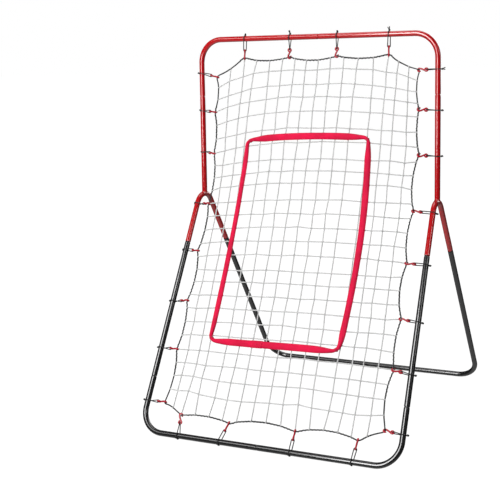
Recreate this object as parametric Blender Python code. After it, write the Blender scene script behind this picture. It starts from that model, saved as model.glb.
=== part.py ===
"""Pitching target net.

A knock-down frame of painted steel tube stands up from a front bar, bends back over two Y-shaped uprights and
is propped by a U-shaped rear stand. A square-mesh net with a rope border hangs inside the front frame on
S-hooks and elastic loops, and a flat strap marks the strike zone on it.

Metres, +Z up. The thrower stands on the -Y side. The origin is on the floor, under the middle of the frame.
"""

import math

import bpy
import numpy as np
from mathutils import Matrix, Vector

# Tube and its slip joints
TUBE_R = 0.00955
BORE_R = 0.0083
SPIGOT_R = 0.0079
SPIGOT_BORE_R = 0.0068
SPIGOT_LENGTH = 0.050
SWAGE_LENGTH = 0.004
SEAM_GAP = 0.0005
TUBE_SIDES = 12

# Frame, between tube centres
TOP_WIDTH = 0.895
FOOT_SPLAY = 0.018
ARCH_RISE = 0.752
UPRIGHT_LENGTH = 0.558
UPRIGHT_LEAN = 0.024
FRONT_REACH = 0.463
REAR_REACH = 0.496
FRONT_LEG_SETBACK = 0.036
REAR_LEG_SETBACK = 0.025
CORNER_BEND = 0.080
ARCH_BEND = 0.0535
BEND_STEPS = 6
ARCH_STEPS = 8

# Where the tubes are joined, as a share of the run they are on
UPRIGHT_SEAM = 0.36
Y_FRONT_SEAM = 0.21
Y_REAR_SEAM = 0.25
FOOT_SEAM = 0.78
TOP_SEAM_X = 0.016
BOTTOM_SEAM_X = -0.018

# Elastic loops and S-hooks
CORD_R = 0.0013
CORD_SIDES = 6
LOOP_GAP = 0.0005
WIRE_R = 0.00175
EYE_R = 0.0049
HOOK_R = 0.0050
HOOK_SIDES = 5
EYE_STEPS = 10
BEND_STEPS_ON_HOOK = 7
BEND_FROM_DEG = 120
BEND_TO_DEG = -125
EYE_TO_ROPE = 0.0236
LOOP_REACH = 0.068
SIDE_SHARES = ((0.212, 0.454, 0.726), (0.039, 0.247, 0.469, 0.665, 0.880))
TOP_LOOPS_X = (-0.268, -0.091, 0.088, 0.277)
BOTTOM_LOOPS_X = (-0.316, -0.159, 0.099, 0.312)
BOTTOM_HOOKS_X = (-0.318, -0.135, 0.106, 0.322)
TOP_HOOK_SLOPE = 0.12
BOTTOM_HOOK_SLOPE = 0.45
# The taut net draws the side hooks forward, by degrees from straight inward. They rise or dip a little too.
SIDE_TILTS_DEG = (5, 19, 26, 23, 20, 10, 5, 0)
SIDE_LIFTS_DEG = {"left": (-13, -4, -1, 4, 4, 8, 2, 1), "right": (-2, 4, 5, 7, 6, 9, 12, 5)}
SIDE_REACHES = {
    "left": (0.068, 0.068, 0.068, 0.068, 0.068, 0.068, 0.068, 0.068),
    "right": (0.063, 0.062, 0.062, 0.064, 0.062, 0.056, 0.058, 0.059),
}
HOOK_TURNS = {
    "top": (70, 160, 170, 65),
    "bottom": (15, -70, -75, -68),
    "left": (75, 85, 95, 80, 100, 85, 90, 80),
    "right": (-165, 15, 20, -150, 40, -140, 30, -150),
}
ROPE_THREADING = 0.0058

# Net, rope and strap. Net places are counted in mesh columns from the left and rows from the top.
COLUMNS = 16
ROWS = 25
HOOK_PLACES = {
    "top": (2, 5.5, 9.5, 13),
    "bottom": (2, 5.5, 10, 14.5),
    "left": (0, 3, 6, 10, 13.5, 17.5, 21, 25),
    "right": (0, 3.5, 6.5, 10.5, 14, 18, 21, 25),
}
ROW_PULL = 1.0
COLUMN_PULL = 2.0
FIRST_ROW_PULL = 2.7
LAST_ROW_PULL = 1.5
LONG_ROWS = (4, 6, 9, 14, 20, 23)
SHORT_ROWS = (2, 7, 8, 15)
LONG_COLUMNS = (3, 11)
SHORT_COLUMNS = (2, 13)
UNEVEN_PULL = 0.30
END_COLUMN_PULL = 1.35
HOOK_SLACK = 0.6
SIDE_ROPE_PULL = 14.0
END_ROPE_PULL = 30.0
ROPE_R = 0.0025
NET_THICKNESS = 0.002
NET_INSET = 0.0095
STRAP_WIDTH = 0.025
STRAP_THICKNESS = 0.0012
STRAP_CORNERS = ((3.25, 5.6), (12.1, 5.6), (11.95, 20.37), (3.02, 20.33))
STRAP_BOW = 0.31
STRAP_SPANS = (8, 12, 8, 12)
STRAP_STANDOFF = 0.004

# The front bar stands on the loops that wrap under it, and the rear bar stands on the floor.
LOOP_OUTER_R = TUBE_R + LOOP_GAP + 2 * CORD_R
FRONT_BAR_Z = LOOP_OUTER_R + 0.0001
REAR_BAR_Z = TUBE_R
ARCH_Y = (FRONT_REACH + LOOP_OUTER_R - REAR_REACH - TUBE_R) / 2
ARCH_Z = FRONT_BAR_Z + ARCH_RISE
TOP_Z = ARCH_Z + UPRIGHT_LENGTH
HALF_WIDTH = TOP_WIDTH / 2

COLOURS = {
    "red_paint": ((0.55, 0.008, 0.012), 0.28, 0.0),
    "black_paint": ((0.012, 0.012, 0.013), 0.25, 0.0),
    "elastic_cord": ((0.02, 0.02, 0.02), 0.8, 0.0),
    "hook_plastic": ((0.60, 0.01, 0.03), 0.35, 0.0),
    "net_cord": ((0.82, 0.82, 0.80), 0.85, 0.0),
    "border_rope": ((0.03, 0.03, 0.03), 0.8, 0.0),
    "strap_webbing": ((0.88, 0.01, 0.09), 0.6, 0.0),
}


def unit(v):
    v = np.asarray(v, float)
    return v / np.linalg.norm(v)


def along(a, b, share):
    return np.asarray(a) + (np.asarray(b) - np.asarray(a)) * share


def material(name):
    colour, roughness, metallic = COLOURS[name]
    mat = bpy.data.materials.new(name)
    mat.use_nodes = True
    shader = mat.node_tree.nodes["Principled BSDF"]
    shader.inputs["Base Color"].default_value = (*colour, 1)
    shader.inputs["Roughness"].default_value = roughness
    shader.inputs["Metallic"].default_value = metallic
    return mat


def mesh_object(name, points, faces, kind):
    """A mesh object with a material of its own."""
    mesh = bpy.data.meshes.new(name)
    mesh.from_pydata([tuple(p) for p in points], [], faces)
    mesh.validate()
    mesh.shade_smooth()
    mesh.set_sharp_from_angle(angle=math.radians(40))
    obj = bpy.data.objects.new(name, mesh)
    bpy.context.scene.collection.objects.link(obj)
    obj.data.materials.append(material(kind))
    return obj


# ---------------------------------------------------------------- sweeps


def rounded_path(corners, radii, steps):
    """The corners joined by straight runs, with an arc at each inner corner."""
    corners = [np.asarray(c, float) for c in corners]
    path = [corners[0]]
    for before, corner, after, radius in zip(corners, corners[1:], corners[2:], radii):
        to_before = unit(before - corner)
        to_after = unit(after - corner)
        half = math.acos(float(np.clip(to_before @ to_after, -1, 1))) / 2
        centre = corner + unit(to_before + to_after) * radius / math.sin(half)
        start = corner + to_before * radius / math.tan(half) - centre
        end = corner + to_after * radius / math.tan(half) - centre
        sweep = math.pi - 2 * half
        for k in range(steps + 1):
            t = sweep * k / steps
            arc = (start * math.sin(sweep - t) + end * math.sin(t)) / math.sin(sweep)
            path.append(centre + arc)
    path.append(corners[-1])
    return np.array(path)


def lengths_along(path):
    return np.concatenate([[0], np.cumsum(np.linalg.norm(np.diff(path, axis=0), axis=1))])


def point_at(path, distance):
    """A point on the path. Before its start or past its end the path goes straight on."""
    at = lengths_along(path)
    k = int(np.clip(np.searchsorted(at, distance) - 1, 0, len(path) - 2))
    share = (distance - at[k]) / (at[k + 1] - at[k])
    return along(path[k], path[k + 1], share)


def stations(path, stops):
    """The path's own corners between the first and last stop, and the stops, each as (point, radius).
    stops is a list of (distance, radius), and the radius goes evenly from one stop to the next."""
    stop_at = [s for s, _ in stops]
    corner_at = [s for s in lengths_along(path)[1:-1] if stop_at[0] < s < stop_at[-1]]
    every = sorted(set(round(s, 7) for s in stop_at + corner_at))
    return [(point_at(path, s), float(np.interp(s, stop_at, [r for _, r in stops]))) for s in every]


def runs_at(points, closed):
    """The directions of the runs before and after each point."""
    after = [unit(b - a) for a, b in zip(points, np.roll(points, -1, axis=0))]
    if not closed:
        after[-1] = after[-2]
    before = [after[-1] if closed else after[0]] + after[:-1]
    return list(zip(before, after))


def ring_axes(tangents, hint, closed):
    """Each ring's first axis. It starts near hint and turns as little as it can. On a closed path the turn that is
    left over at the end is spread along the path, so the last ring meets the first."""
    axes = []
    axis = np.asarray(hint, float)
    for tangent in tangents + tangents[:1]:
        axis = unit(axis - tangent * (axis @ tangent))
        axes.append(axis)
    came_back = axes.pop()
    if closed:
        left_over = math.atan2(came_back @ np.cross(tangents[0], axes[0]), came_back @ axes[0])
        for k, (axis, tangent) in enumerate(zip(axes, tangents)):
            angle = -left_over * k / len(axes)
            axes[k] = axis * math.cos(angle) + np.cross(tangent, axis) * math.sin(angle)
    return axes


def rings_along(places, hint, sides, closed=False, circumscribed=True, turn=0.5):
    """One ring of points for each (point, radius), mitred at bends. hint points at the ring's first axis."""
    points = np.array([p for p, _ in places])
    stretch = 1 / math.cos(math.pi / sides) if circumscribed else 1
    runs = runs_at(points, closed)
    tangents = [unit(before + after) for before, after in runs]
    rings = []
    for (point, radius), (before, after), tangent, axis in zip(
            places, runs, tangents, ring_axes(tangents, hint, closed)):
        other = np.cross(tangent, axis)
        bend = after - before
        opened = 1 / max(float(tangent @ before), 0.5)
        ring = []
        for s in range(sides):
            angle = 2 * math.pi * (s + turn) / sides
            offset = (axis * math.cos(angle) + other * math.sin(angle)) * radius * stretch
            if np.linalg.norm(bend) > 1e-6:
                way = unit(bend)
                offset = offset + way * (offset @ way) * (opened - 1)
            ring.append(point + offset)
        rings.append(ring)
    return rings


def skin(rings, first, flip):
    """Faces between each ring and the next, for points numbered from first."""
    sides = len(rings[0])
    faces = []
    for k in range(len(rings) - 1):
        for s in range(sides):
            a = first + k * sides + s
            b = first + k * sides + (s + 1) % sides
            quad = (a, b, b + sides, a + sides)
            faces.append(quad[::-1] if flip else quad)
    return faces


def solid_rod(places, hint, sides, circumscribed=True):
    rings = rings_along(places, hint, sides, circumscribed=circumscribed)
    points = [p for ring in rings for p in ring]
    faces = skin(rings, 0, False)
    faces.append(tuple(range(sides))[::-1])
    faces.append(tuple(range(len(points) - sides, len(points))))
    return points, faces


def closed_rod(path, radius, hint, sides):
    """A rod whose end meets its start."""
    rings = rings_along([(p, radius) for p in path], hint, sides, closed=True, circumscribed=False)
    points = [p for ring in rings for p in ring]
    faces = [tuple(i % len(points) for i in f) for f in skin(rings + rings[:1], 0, False)]
    return points, faces


def pipe(outer, inner, hint, sides, turn=0.5):
    """A tube that is open at both ends, from its outer and inner (point, radius) places."""
    outer_rings = rings_along(outer, hint, sides, turn=turn)
    inner_rings = rings_along(inner, hint, sides, turn=turn)
    points = [p for ring in outer_rings + inner_rings for p in ring]
    start = len(outer_rings) * sides
    faces = skin(outer_rings, 0, False) + skin(inner_rings, start, True)
    for s in range(sides):
        n = (s + 1) % sides
        faces.append((s, start + s, start + n, n))
        last, far = start - sides, len(points) - sides
        faces.append((last + s, last + n, far + n, far + s))
    return points, faces


def tube_stops(length, male_start, male_end):
    """(outer stops, inner stops) of a tube between two seams, with a swaged spigot past each male end."""
    outer = [(0, TUBE_R), (length, TUBE_R)]
    inner = [(0, BORE_R), (length, BORE_R)]
    shoulder = SEAM_GAP + SWAGE_LENGTH
    if male_start:
        outer[:1] = [(-SPIGOT_LENGTH, SPIGOT_R), (SEAM_GAP, SPIGOT_R), (shoulder, TUBE_R)]
        inner[:1] = [(-SPIGOT_LENGTH, SPIGOT_BORE_R), (SEAM_GAP, SPIGOT_BORE_R), (2 * shoulder, BORE_R)]
    if male_end:
        outer[-1:] = [(length - s, r) for s, r in
                      ((shoulder, TUBE_R), (SEAM_GAP, SPIGOT_R), (-SPIGOT_LENGTH, SPIGOT_R))]
        inner[-1:] = [(length - s, r) for s, r in
                      ((2 * shoulder, BORE_R), (SEAM_GAP, SPIGOT_BORE_R), (-SPIGOT_LENGTH, SPIGOT_BORE_R))]
    return outer, inner


def tube(name, path, hint, kind, male_start=False, male_end=False):
    outer, inner = tube_stops(lengths_along(path)[-1], male_start, male_end)
    points, faces = pipe(stations(path, outer), stations(path, inner), hint, TUBE_SIDES)
    return mesh_object(name, points, faces, kind)


# ---------------------------------------------------------------- frame


def frame_points(side):
    """The frame's corners on one side: -1 is left, +1 is right."""
    x = side * HALF_WIDTH
    return {
        "top": np.array([x, ARCH_Y + UPRIGHT_LEAN, TOP_Z]),
        "arch": np.array([x, ARCH_Y, ARCH_Z]),
        "front_head": np.array([x, ARCH_Y - FRONT_LEG_SETBACK, ARCH_Z]),
        "rear_head": np.array([x, ARCH_Y + REAR_LEG_SETBACK, ARCH_Z]),
        "front_foot": np.array([side * (HALF_WIDTH + FOOT_SPLAY), ARCH_Y - FRONT_REACH, FRONT_BAR_Z]),
        "rear_foot": np.array([x, ARCH_Y + REAR_REACH, REAR_BAR_Z]),
    }


def arch_apex(at):
    """Where the lines of the front and rear legs would meet, above the bend."""
    down_front = unit(at["front_foot"] - at["front_head"])
    down_rear = unit(at["rear_foot"] - at["rear_head"])
    gap = at["rear_head"][1] - at["front_head"][1]
    rise = gap / (down_rear[1] / -down_rear[2] - down_front[1] / -down_front[2])
    on_front = at["front_head"] + down_front / down_front[2] * rise
    on_rear = at["rear_head"] + down_rear / down_rear[2] * rise
    return (on_front + on_rear) / 2


def boolean(target, cutter, operation):
    """Joins or cuts target with cutter, and removes the cutter."""
    modifier = target.modifiers.new("boolean", "BOOLEAN")
    modifier.operation = operation
    modifier.solver = "EXACT"
    modifier.object = cutter
    bpy.context.view_layer.update()
    with bpy.context.temp_override(object=target, active_object=target, selected_objects=[target]):
        bpy.ops.object.modifier_apply(modifier=modifier.name)
    bpy.data.objects.remove(cutter)


def make_y_upright(name, side):
    """An upright welded onto a tube bent over into a front and a rear leg stub."""
    at = frame_points(side)
    front_seam = along(at["front_head"], at["front_foot"], Y_FRONT_SEAM)
    rear_seam = along(at["rear_head"], at["rear_foot"], Y_REAR_SEAM)
    bent = rounded_path([front_seam, arch_apex(at), rear_seam], [ARCH_BEND], ARCH_STEPS)
    across = (1, 0, 0)
    length = lengths_along(bent)[-1]
    past = 0.005

    upright = np.array([at["arch"], along(at["arch"], at["top"], 1 - UPRIGHT_SEAM)])
    reach = lengths_along(upright)[-1]
    outer, inner = tube_stops(reach, False, True)
    weld = 2 * TUBE_R
    inner[0] = (weld, BORE_R)
    inner[-1] = (inner[-1][0] + past, SPIGOT_BORE_R)

    body = mesh_object(name, *solid_rod(stations(bent, [(0, TUBE_R), (length, TUBE_R)]), across, TUBE_SIDES),
                       "red_paint")
    post = mesh_object("post", *solid_rod(stations(upright, outer), across, TUBE_SIDES), "red_paint")
    bore = mesh_object("bore", *solid_rod(stations(bent, [(-past, BORE_R), (length + past, BORE_R)]), across,
                                          TUBE_SIDES), "red_paint")
    post_bore = mesh_object("post_bore", *solid_rod(stations(upright, inner), across, TUBE_SIDES), "red_paint")
    boolean(body, post, "UNION")
    boolean(body, bore, "DIFFERENCE")
    boolean(body, post_bore, "DIFFERENCE")
    return body


def make_frame():
    left = frame_points(-1)
    right = frame_points(1)
    for side, at in ((-1, left), (1, right)):
        word = "left" if side < 0 else "right"
        make_y_upright(f"{word}_y_upright", side)

        top_seam = np.array([TOP_SEAM_X, at["top"][1], TOP_Z])
        corner = [along(at["arch"], at["top"], 1 - UPRIGHT_SEAM), at["top"], top_seam]
        path = rounded_path(corner, [CORNER_BEND], BEND_STEPS)
        tube(f"top_{word}_corner_tube", path, (0, 1, 0), "red_paint", male_end=side > 0)

        leg = along(at["front_head"], at["front_foot"], Y_FRONT_SEAM)
        foot = along(at["front_head"], at["front_foot"], FOOT_SEAM)
        tube(f"{word}_front_leg", np.array([leg, foot]), (1, 0, 0), "black_paint", male_start=True)

        bar_seam = np.array([BOTTOM_SEAM_X, at["front_foot"][1], FRONT_BAR_Z])
        path = rounded_path([foot, at["front_foot"], bar_seam], [CORNER_BEND], BEND_STEPS)
        up_leg = unit(at["front_head"] - at["front_foot"])
        tube(f"bottom_{word}_corner_tube", path, np.cross((1, 0, 0), up_leg), "black_paint",
             male_start=True, male_end=side < 0)
    make_rear_stand(left, right)


def make_rear_stand(left, right):
    """The U that plugs into both rear leg stubs. One facet of its bar lies flat on the floor."""
    heads = [along(at["rear_head"], at["rear_foot"], Y_REAR_SEAM) for at in (left, right)]
    path = rounded_path([heads[0], left["rear_foot"], right["rear_foot"], heads[1]], [CORNER_BEND] * 2,
                        BEND_STEPS)
    down_leg = unit(left["rear_foot"] - left["rear_head"])
    facing = np.cross((1, 0, 0), down_leg)
    floor_angle = math.atan2(down_leg[2], -facing[2])
    turn = 0.5 + floor_angle * TUBE_SIDES / (2 * math.pi)
    outer, inner = tube_stops(lengths_along(path)[-1], True, True)
    points, faces = pipe(stations(path, outer), stations(path, inner), facing, TUBE_SIDES, turn)
    return mesh_object("rear_stand_tube", points, faces, "black_paint")


# ---------------------------------------------------------------- hooks and loops


def hook_sites():
    """Every hook's place: name, tube point, tube direction, rope point, turn about its own length, net place."""
    sites = []
    top_y = ARCH_Y + UPRIGHT_LEAN
    bar_y = ARCH_Y - FRONT_REACH
    down = unit((0, -TOP_HOOK_SLOPE, -1))
    up = unit((0, BOTTOM_HOOK_SLOPE, 1))
    for k, x in enumerate(TOP_LOOPS_X):
        start = np.array([x, top_y, TOP_Z])
        sites.append((f"top_{k + 1}", start, (1, 0, 0), start + down * LOOP_REACH,
                      HOOK_TURNS["top"][k], (HOOK_PLACES["top"][k], 0)))
    for k, (x, hook_x) in enumerate(zip(BOTTOM_LOOPS_X, BOTTOM_HOOKS_X)):
        start = np.array([x, bar_y, FRONT_BAR_Z])
        rise = math.sqrt(LOOP_REACH ** 2 - (hook_x - x) ** 2)
        sites.append((f"bottom_{k + 1}", start, (1, 0, 0), start + (hook_x - x, 0, 0) + up * rise,
                      HOOK_TURNS["bottom"][k], (HOOK_PLACES["bottom"][k], ROWS)))
    for side, word, column in ((-1, "left", 0), (1, "right", COLUMNS)):
        at = frame_points(side)
        runs = ((at["top"], at["arch"]), (at["front_head"], at["front_foot"]))
        starts = [(along(a, b, s), unit(b - a)) for (a, b), shares in zip(runs, SIDE_SHARES) for s in shares]
        for k, (start, tube_way) in enumerate(starts):
            tilt = math.radians(SIDE_TILTS_DEG[k])
            lift = math.radians(SIDE_LIFTS_DEG[word][k])
            inward = np.array([-side * math.cos(tilt) * math.cos(lift), -math.sin(tilt) * math.cos(lift),
                               math.sin(lift)])
            sites.append((f"{word}_{k + 1}", start, tube_way, start + inward * SIDE_REACHES[word][k],
                          HOOK_TURNS[word][k], (column, HOOK_PLACES[word][k])))
    return sites


def hook_axes(start, tube_way, rope_point, turn):
    """(along, across, facing, front): from tube to net, across the hook, square to the hook, and the frame's front."""
    out = unit(rope_point - start)
    front = np.cross(tube_way, out)
    if front[1] > 0:
        front = -front
    front = unit(front)
    level = np.cross(front, out)
    angle = math.radians(turn)
    across = level * math.cos(angle) + front * math.sin(angle)
    return out, across, np.cross(out, across), front


def make_hook_mesh():
    """An S-hook along +X with the rope at its origin: a closed eye towards the tube, an open hook on the rope."""
    eye = [np.array([-EYE_TO_ROPE + EYE_R * math.cos(a), EYE_R * math.sin(a), 0])
           for a in np.linspace(0, 2 * math.pi, EYE_STEPS, endpoint=False)]
    points, faces = closed_rod(eye, WIRE_R, (0, 0, 1), HOOK_SIDES)
    ring = mesh_object("hook", points, faces, "hook_plastic")
    leaves_eye = np.array([0.9 * EYE_R - EYE_TO_ROPE, -0.55 * EYE_R, 0])
    crosses_middle = np.array([-0.55 * EYE_TO_ROPE, 0.15 * HOOK_R, 0])
    bend = [np.array([HOOK_R * math.cos(a), HOOK_R * math.sin(a), 0])
            for a in np.radians(np.linspace(BEND_FROM_DEG, BEND_TO_DEG, BEND_STEPS_ON_HOOK + 1))]
    places = [(p, WIRE_R) for p in [leaves_eye, crosses_middle] + bend]
    stem = mesh_object("stem", *solid_rod(places, (0, 0, 1), HOOK_SIDES, circumscribed=False), "hook_plastic")
    boolean(ring, stem, "UNION")
    return ring


def make_hooks(sites):
    pattern = make_hook_mesh()
    for name, start, tube_way, rope_point, turn, _ in sites:
        out, across, facing, _ = hook_axes(start, tube_way, rope_point, turn)
        hook = bpy.data.objects.new(f"hook_{name}", pattern.data)
        bpy.context.scene.collection.objects.link(hook)
        hook.matrix_world = Matrix.Translation(Vector(rope_point)) @ Matrix(
            np.array([out, across, facing]).T.tolist()).to_4x4()
    bpy.data.objects.remove(pattern)


def loop_path(start, tube_way, rope_point, turn):
    """A closed cord round the tube, whose far end turns round the near side of the hook's eye."""
    out, _, facing, front = hook_axes(start, tube_way, rope_point, turn)
    across_tube = unit(np.cross(front, tube_way))
    if across_tube @ out < 0:
        across_tube = -across_tube
    step = math.radians(30)
    radius = (TUBE_R + LOOP_GAP + CORD_R) / math.cos(step / 2)
    path = []
    for angle in step * np.arange(-3.5, 4):
        path.append(start - radius * (across_tube * math.cos(angle) - front * math.sin(angle)))
    reach = np.linalg.norm(rope_point - start) - EYE_TO_ROPE - EYE_R
    turn_r = WIRE_R + LOOP_GAP + CORD_R
    facing = facing if facing @ front > 0 else -facing
    for angle in np.radians((90, 45, 0, -45, -90)):
        bulge = turn_r / math.cos(math.pi / 8) if abs(angle) < 1.5 else turn_r
        path.append(start + out * (reach + bulge * math.cos(angle)) + facing * bulge * math.sin(angle))
    return path


def make_loops(sites):
    for name, start, tube_way, rope_point, turn, _ in sites:
        path = loop_path(start, tube_way, rope_point, turn)
        points, faces = closed_rod(path, CORD_R, tube_way, CORD_SIDES)
        mesh_object(f"loop_{name}", points, faces, "elastic_cord")


# ---------------------------------------------------------------- net


def net_shape(sites):
    """Where the taut net and its rope rest: each knot is balanced by the pulls of the cords that meet there.
    Places are counted in half meshes, and the rope has a point at every half mesh."""
    wide, tall = 2 * COLUMNS, 2 * ROWS
    rope = ([(c, 0) for c in range(wide)] + [(wide, r) for r in range(tall)]
            + [(c, tall) for c in range(wide, 0, -1)] + [(0, r) for r in range(tall, 0, -1)])
    knots = rope + [(c, r) for c in range(2, wide, 2) for r in range(2, tall, 2)]
    number = {knot: k for k, knot in enumerate(knots)}
    ties = []
    for a, b in zip(rope, rope[1:] + rope[:1]):
        ties.append((a, b, SIDE_ROPE_PULL if a[0] == b[0] else END_ROPE_PULL))
    row_pulls = [ROW_PULL] * COLUMNS
    for column in LONG_COLUMNS:
        row_pulls[column] -= UNEVEN_PULL
    for column in SHORT_COLUMNS:
        row_pulls[column] += UNEVEN_PULL
    row_pulls[0] = row_pulls[-1] = END_COLUMN_PULL
    for r in range(2, tall, 2):
        ties += [((c, r), (c + 2, r), row_pulls[c // 2]) for c in range(0, wide, 2)]
    column_pulls = [COLUMN_PULL] * ROWS
    for row in LONG_ROWS:
        column_pulls[row] -= UNEVEN_PULL
    for row in SHORT_ROWS:
        column_pulls[row] += UNEVEN_PULL
    column_pulls[0], column_pulls[-1] = FIRST_ROW_PULL, LAST_ROW_PULL
    for c in range(2, wide, 2):
        ties += [((c, r), (c, r + 2), column_pulls[r // 2]) for r in range(0, tall, 2)]
    held = {number[(round(2 * c), round(2 * r))]: rope_point for _, _, _, rope_point, _, (c, r) in sites}
    on_rope = set(range(len(rope)))
    pulls = np.zeros((len(knots), len(knots)))
    for a, b, pull in ties:
        a, b = number[a], number[b]
        if (a in held) != (b in held) and not {a, b} <= on_rope:
            pull *= HOOK_SLACK
        pulls[a, a] += pull
        pulls[b, b] += pull
        pulls[a, b] -= pull
        pulls[b, a] -= pull
    fixed = sorted(held)
    free = [k for k in range(len(knots)) if k not in held]
    at = np.zeros((len(knots), 3))
    at[fixed] = [held[k] for k in fixed]
    at[free] = np.linalg.solve(pulls[np.ix_(free, free)], -pulls[np.ix_(free, fixed)] @ at[fixed])
    return {knot: at[k] for knot, k in number.items()}, rope


def net_point(shape, column, row):
    """A point on the net at any column and row, between its knots."""
    c = min(int(column), COLUMNS - 1)
    r = min(int(row), ROWS - 1)
    u, v = column - c, row - r
    upper = along(shape[(2 * c, 2 * r)], shape[(2 * c + 2, 2 * r)], u)
    lower = along(shape[(2 * c, 2 * r + 2)], shape[(2 * c + 2, 2 * r + 2)], u)
    return along(upper, lower, v)


def net_normal(shape, column, row):
    """The net's outward normal, towards the thrower."""
    step = 0.5
    left, right = max(column - step, 0), min(column + step, COLUMNS)
    high, low = max(row - step, 0), min(row + step, ROWS)
    to_right = net_point(shape, right, row) - net_point(shape, left, row)
    down = net_point(shape, column, low) - net_point(shape, column, high)
    normal = unit(np.cross(down, to_right))
    return normal if normal[1] < 0 else -normal


def make_net(shape):
    """The mesh as one thin panel with the net's curve and scalloped outline."""
    grid = {}
    for c in range(COLUMNS + 1):
        for r in range(ROWS + 1):
            at = shape[(2 * c, 2 * r)]
            inward = np.zeros(3)
            if c in (0, COLUMNS):
                inward += unit(shape[(2 if c == 0 else 2 * COLUMNS - 2, 2 * min(max(r, 1), ROWS - 1))] - at)
            if r in (0, ROWS):
                inward += unit(shape[(2 * min(max(c, 1), COLUMNS - 1), 2 if r == 0 else 2 * ROWS - 2)] - at)
            if np.linalg.norm(inward) > 0:
                at = at + unit(inward) * NET_INSET
            grid[(c, r)] = at
    points, number = [], {}
    for layer in (1, -1):
        for (c, r), at in grid.items():
            number[(c, r, layer)] = len(points)
            points.append(at + net_normal(shape, c, r) * layer * NET_THICKNESS / 2)
    faces = []
    for c in range(COLUMNS):
        for r in range(ROWS):
            square = [(c, r), (c, r + 1), (c + 1, r + 1), (c + 1, r)]
            faces.append(tuple(number[(*p, 1)] for p in square))
            faces.append(tuple(number[(*p, -1)] for p in square[::-1]))
    rim = ([(c, 0) for c in range(COLUMNS)] + [(COLUMNS, r) for r in range(ROWS)]
           + [(c, ROWS) for c in range(COLUMNS, 0, -1)] + [(0, r) for r in range(ROWS, 0, -1)])
    for a, b in zip(rim, rim[1:] + rim[:1]):
        faces.append((number[(*a, 1)], number[(*b, 1)], number[(*b, -1)], number[(*a, -1)]))
    return mesh_object("net", points, faces, "net_cord")


def rope_path(shape, rope, sites):
    """The rope's middle line. It threads each hook straight through, from one side of the hook to the other."""
    threads = {}
    for _, start, tube_way, rope_point, turn, (column, row) in sites:
        threads[(round(2 * column), round(2 * row))] = hook_axes(start, tube_way, rope_point, turn)[2]
    path = []
    for k, knot in enumerate(rope):
        if knot in threads:
            travel = shape[rope[(k + 1) % len(rope)]] - shape[rope[k - 1]]
            through = threads[knot] * (ROPE_THREADING if threads[knot] @ travel > 0 else -ROPE_THREADING)
            path += [shape[knot] - through, shape[knot] + through]
        else:
            path.append(shape[knot])
    return path


def make_rope(shape, rope, sites):
    points, faces = closed_rod(rope_path(shape, rope, sites), ROPE_R, (0, 1, 0), 4)
    return mesh_object("border_rope", points, faces, "border_rope")


def make_strap(shape):
    """The strike zone: one closed band of webbing, lying just in front of the net."""
    middle_c, middle_r = np.mean(STRAP_CORNERS, axis=0)
    outline = []
    for run, (a, b, spans) in enumerate(zip(STRAP_CORNERS, STRAP_CORNERS[1:] + STRAP_CORNERS[:1], STRAP_SPANS)):
        for k in range(spans):
            c, r = along(a, b, k / spans)
            if run == 1:
                c += STRAP_BOW * math.sin(math.pi * k / spans)
            outline.append(((c, r), run % 2 == 1 or k == 0, run % 2 == 0 or k == 0))
    points = []
    half = STRAP_WIDTH / 2
    for (c, r), upright, level in outline:
        at = net_point(shape, c, r)
        normal = net_normal(shape, c, r)
        inward = np.zeros(3)
        if upright:
            inward += unit(net_point(shape, middle_c, r) - at)
        if level:
            inward += unit(net_point(shape, c, middle_r) - at)
        near = at + normal * STRAP_STANDOFF
        for reach, lift in ((-half, 0), (half, 0), (half, STRAP_THICKNESS), (-half, STRAP_THICKNESS)):
            points.append(near + inward * reach + normal * lift)
    count = len(outline)
    faces = []
    for k in range(count):
        for s in range(4):
            a, b = 4 * k + s, 4 * k + (s + 1) % 4
            c, d = 4 * ((k + 1) % count) + (s + 1) % 4, 4 * ((k + 1) % count) + s
            faces.append((d, c, b, a))
    return mesh_object("strike_zone_strap", points, faces, "strap_webbing")


def main():
    for obj in list(bpy.data.objects):
        bpy.data.objects.remove(obj)
    sites = hook_sites()
    shape, rope = net_shape(sites)
    make_frame()
    make_hooks(sites)
    make_loops(sites)
    make_net(shape)
    make_rope(shape, rope, sites)
    make_strap(shape)


main()
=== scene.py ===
"""Pitching target net: the visible model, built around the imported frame.

Metres, +Z up, the thrower on the -Y side, the origin on the floor. The driving dimensions below are the
part's own, so every piece lies where the solid it stands for lies.
"""

import math

import bpy
import numpy as np
from mathutils import Matrix, Vector


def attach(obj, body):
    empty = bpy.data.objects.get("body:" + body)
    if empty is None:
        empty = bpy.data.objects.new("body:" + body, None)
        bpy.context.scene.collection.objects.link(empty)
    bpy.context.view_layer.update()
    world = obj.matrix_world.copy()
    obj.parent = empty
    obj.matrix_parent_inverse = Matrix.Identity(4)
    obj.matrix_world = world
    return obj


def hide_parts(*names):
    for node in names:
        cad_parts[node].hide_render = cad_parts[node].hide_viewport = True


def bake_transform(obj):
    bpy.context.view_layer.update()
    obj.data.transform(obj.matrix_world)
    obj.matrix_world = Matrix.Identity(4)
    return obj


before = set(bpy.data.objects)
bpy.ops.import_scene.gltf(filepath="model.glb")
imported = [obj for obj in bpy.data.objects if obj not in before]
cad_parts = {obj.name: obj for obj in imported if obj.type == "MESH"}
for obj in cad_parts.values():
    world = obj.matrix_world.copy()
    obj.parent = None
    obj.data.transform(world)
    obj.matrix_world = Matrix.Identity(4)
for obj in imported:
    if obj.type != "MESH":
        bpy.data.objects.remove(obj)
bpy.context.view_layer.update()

# Tube and its slip joints
TUBE_R = 0.00955
BORE_R = 0.0083
SPIGOT_R = 0.0079
SPIGOT_BORE_R = 0.0068
SPIGOT_LENGTH = 0.050
SWAGE_LENGTH = 0.004
SEAM_GAP = 0.0005
LIP = 0.00035
TUBE_SIDES = 40

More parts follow.
